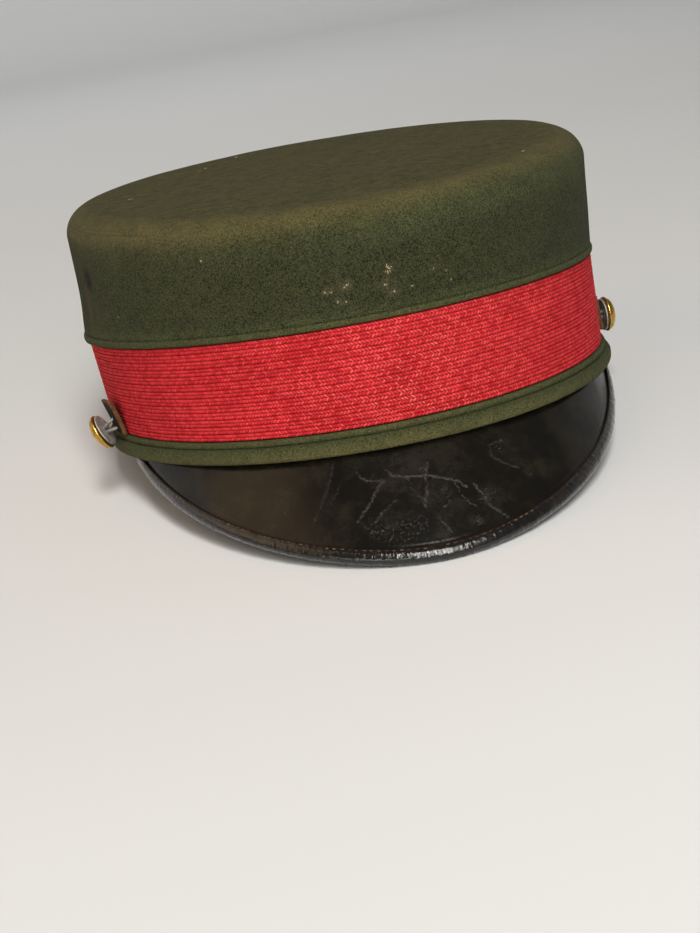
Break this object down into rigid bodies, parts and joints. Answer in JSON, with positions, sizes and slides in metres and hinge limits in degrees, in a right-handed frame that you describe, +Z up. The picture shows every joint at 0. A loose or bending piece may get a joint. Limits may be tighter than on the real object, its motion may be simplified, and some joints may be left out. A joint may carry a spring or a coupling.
{
  "type": "kepi cap",
  "caption": "Flat-topped felt cap with a ribbed band, rolled edge trim, glossy leather peak and two side buttons on short strap tabs.",
  "frame": {"origin": "on the surface that the cap rests on, under the middle of its bounding box", "axes": "+Z up, -Y towards the front of the cap where the peak is, +X towards the wearer's left, the viewer's right from the front"},
  "size_m": [0.183, 0.2432, 0.0927],
  "materials": {
    "crown_felt": "dark green wool felt with worn olive nap on the shoulder",
    "band_braid": "red worsted braid, close ribs",
    "trim_felt": "olive green felt roll",
    "peak_leather": "black patent leather, scratched",
    "binding_leather": "black crinkled glossy leather",
    "tab_leather": "worn black leather with brown cut edges",
    "button_brass": "polished, lightly tarnished",
    "button_steel": "dull tinned back plate and wire"
  },
  "bodies": {
    "root": {"crown": "crown_felt", "band": "band_braid", "upper_welt": "trim_felt", "lower_welt": "trim_felt", "base_roll": "trim_felt", "peak": "peak_leather", "peak_binding": "binding_leather", "strap_tab_left": "tab_leather", "strap_tab_right": "tab_leather", "button_cap_left": "button_brass", "button_cap_right": "button_brass", "button_back_left": "button_steel", "button_back_right": "button_steel"}
  },
  "joints": []
}
